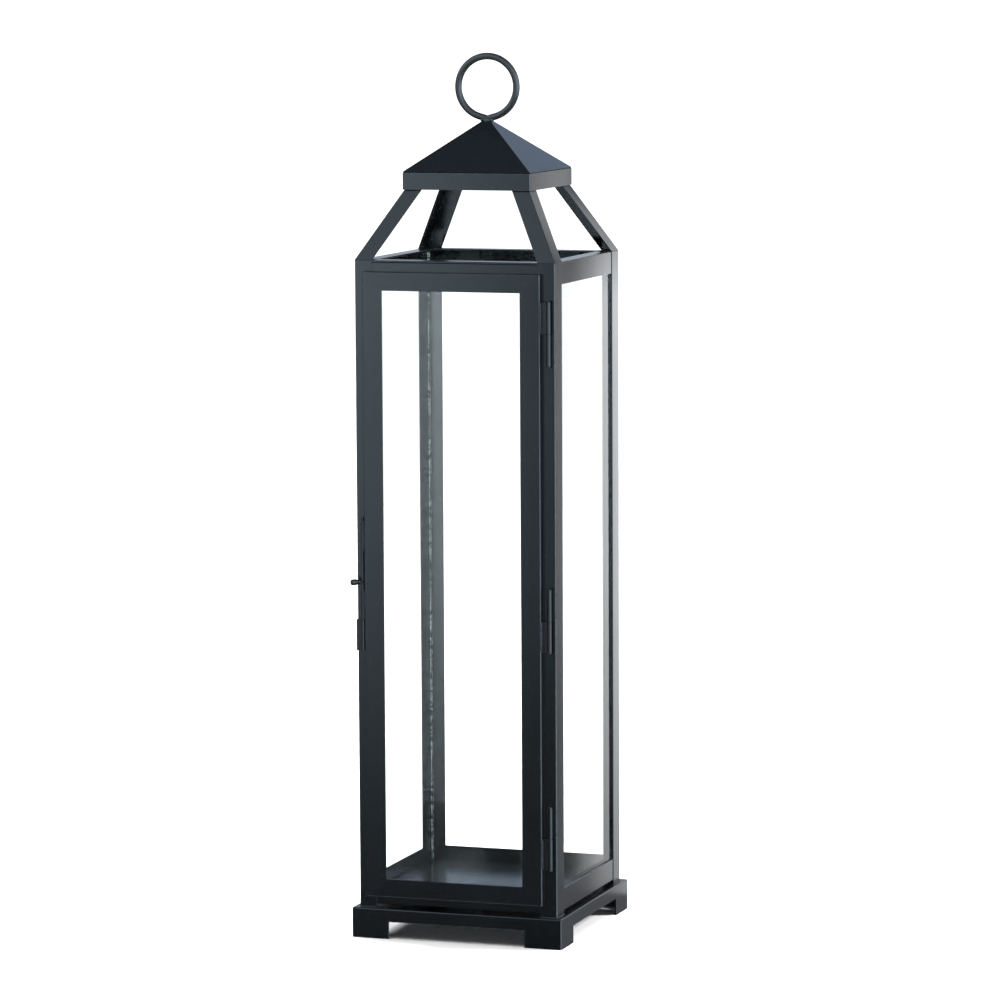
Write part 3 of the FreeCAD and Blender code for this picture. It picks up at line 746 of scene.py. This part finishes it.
def make_floor_lights():
    """A lamp low on each side, unseen itself, that lights the floor under the plinth's notches."""
    size, brightness = 0.6, 62.0
    for side in (-1, 1):
        name = f"floor_light_{side}"
        data = bpy.data.lights.new(name, "AREA")
        data.shape = "RECTANGLE"
        data.size, data.size_y = size, size
        data.energy = 4 * size * size * brightness
        lamp = placed(name, data)
        lamp.location = (1.9 * side, 0.75, 1.25)
        lamp.rotation_euler = (-lamp.location).to_track_quat("-Z", "Y").to_euler()
        lamp.visible_camera = False
        lamp.visible_glossy = False


def graded_card(name, y, x_span, z_span, x_stops, z_stops, tint):
    """Upright card facing along Y whose glow is graded across and up; only mirrored surfaces see it."""
    mesh = bpy.data.meshes.new(name)
    (x0, x1), (z0, z1) = x_span, z_span
    mesh.from_pydata([(x0, y, z0), (x1, y, z0), (x1, y, z1), (x0, y, z1)], [], [(0, 1, 2, 3)])
    card = placed(name, mesh)
    s = Shader(name)
    split = s.node("ShaderNodeSeparateXYZ")
    s.link(s.place, split.inputs["Vector"])
    strength = s.math("MULTIPLY", s.graded(split.outputs["X"], x_span, grey(x_stops)),
                      s.graded(split.outputs["Z"], z_span, grey(z_stops)))
    glow = s.node("ShaderNodeEmission")
    glow.inputs["Color"].default_value = (*tint, 1)
    s.link(strength, glow.inputs["Strength"])
    mesh.materials.append(s.surface(glow.outputs["Emission"]))
    s.material.cycles.emission_sampling = "NONE"
    for kind in ("camera", "diffuse", "transmission", "shadow", "volume_scatter"):
        setattr(card, "visible_" + kind, False)


def make_cards():
    """Front faces mirror the card ahead on the left, and right faces the narrow one close behind."""
    graded_card("left_card", -1.05, (-1.2, -0.05), (-0.35, 1.1),
                [(-1.2, 0.6), (-0.5, 1.15), (-0.42, 1.03), (-0.35, 0.7), (-0.25, 0.35), (-0.05, 0.0)],
                [(-0.35, 0.0), (-0.17, 0.15), (0.0, 0.8), (0.115, 1.5), (0.41, 2.6), (0.7, 2.4), (1.1, 2.4)],
                (0.86, 0.95, 1.0))
    graded_card("rear_card", 0.13, (0.065, 0.142), (0.0, 0.64),
                [(0.065, 0.0), (0.078, 1.0), (0.099, 1.0), (0.113, 0.5), (0.125, 0.1), (0.142, 0.0)],
                [(0.0, 1.3), (0.08, 1.8), (0.25, 2.8), (0.45, 3.3), (0.51, 1.3), (0.57, 1.2), (0.64, 0.5)],
                (0.97, 0.98, 1.0))


# What mirrored rays meet, as (sine of the angle above level, colour): the room behind the lantern, the
# room ahead of its door, and the flank on its right.
ROOM_BEHIND = [(-1, (0.4, 0.42, 0.45)), (-0.3, (0.12, 0.13, 0.14)), (-0.2, (0.29, 0.3, 0.32)),
               (-0.13, (0.46, 0.47, 0.5)), (-0.06, (0.7, 0.71, 0.75)), (0.03, (0.95, 0.98, 1.05)),
               (0.14, (0.5, 0.6, 0.74)), (0.24, (0.27, 0.34, 0.45)), (0.34, (0.44, 0.55, 0.75)),
               (1, (0.07, 0.08, 0.1))]
ROOM_AHEAD = [(-1, (2.3, 2.45, 2.6)), (-0.87, (2.1, 2.25, 2.4)), (-0.72, (0.03, 0.03, 0.04)),
              (-0.13, (0.0, 0.0, 0.0)), (-0.02, (0.1, 0.12, 0.15)), (0.14, (0.25, 0.3, 0.36)),
              (0.32, (2.3, 2.5, 2.7)), (0.55, (2.4, 2.6, 2.8)), (0.8, (1.15, 1.28, 1.4)),
              (0.92, (0.3, 0.34, 0.4)), (1, (0.04, 0.05, 0.07))]
FLANK = [(-0.4, (0.1, 0.1, 0.1)), (-0.2, (3.9, 4.2, 4.6)), (0.35, (4.5, 4.8, 5.2)), (0.7, (0.2, 0.22, 0.25))]
OVERHEAD = grey([(0, 0.01), (0.5, 0.06), (0.74, 0.5), (0.84, 3.4), (1, 4.0)])
BACKDROP = (1.4, 1.4, 1.4, 1)


def make_world():
    """White to the eye; light from overhead on matt surfaces; graded rooms in mirrored ones."""
    world = bpy.data.worlds.new("studio")
    bpy.context.scene.world = world
    world.use_nodes = True
    w = Nodes(world.node_tree)
    output = w.node("ShaderNodeOutputWorld")
    split = w.node("ShaderNodeSeparateXYZ")
    w.link(w.node("ShaderNodeTexCoord").outputs["Generated"], split.inputs["Vector"])

    def by(axis, stops):
        """Colours placed along one component of the direction looked in."""
        return w.graded(split.outputs[axis], (-1, 1), stops)

    def background(colour):
        item = w.node("ShaderNodeBackground")
        w.feed(item.inputs["Color"], colour)
        return item.outputs["Background"]

    flank = by("Z", FLANK)
    ahead = w.mix(by("X", grey([(0.1, 0), (0.24, 0.6), (0.42, 0.6), (0.55, 1)])), by("Z", ROOM_AHEAD), flank)
    room = w.mix(by("Y", grey([(-0.25, 0), (0.3, 1)])), ahead, by("Z", ROOM_BEHIND))
    room = w.mix(by("X", grey([(0.84, 0), (0.93, 1)])), room, flank)
    path = w.node("ShaderNodeLightPath")
    overhead = background(by("Z", OVERHEAD))
    shown = w.blend(path.outputs["Is Diffuse Ray"], background(BACKDROP), overhead)
    shown = w.blend(path.outputs["Is Glossy Ray"], shown, background(room))
    w.link(shown, output.inputs["Surface"])


def make_camera():
    """Seen from the right of the door and a little above, from three and a half metres."""
    azimuth, elevation, roll = math.radians(18.81), math.radians(6.576), math.radians(-0.305)
    target, distance = Vector((0.0078, 0.0004, 0.3118)), 3.4737
    data = bpy.data.cameras.new("camera")
    data.sensor_width = 36.0
    data.lens = 172.43
    data.clip_start, data.clip_end = 0.1, 60.0
    camera = placed("camera", data)
    back = Vector((math.sin(azimuth) * math.cos(elevation), -math.cos(azimuth) * math.cos(elevation),
                   math.sin(elevation)))
    camera.location = target + distance * back
    camera.rotation_mode = "QUATERNION"
    camera.rotation_quaternion = (-back).to_track_quat("-Z", "Y") @ Euler((0, 0, roll)).to_quaternion()
    bpy.context.scene.camera = camera


make_floor()
make_floor_lights()
make_cards()
make_world()
make_camera()
bpy.context.scene.view_settings.view_transform = "Standard"
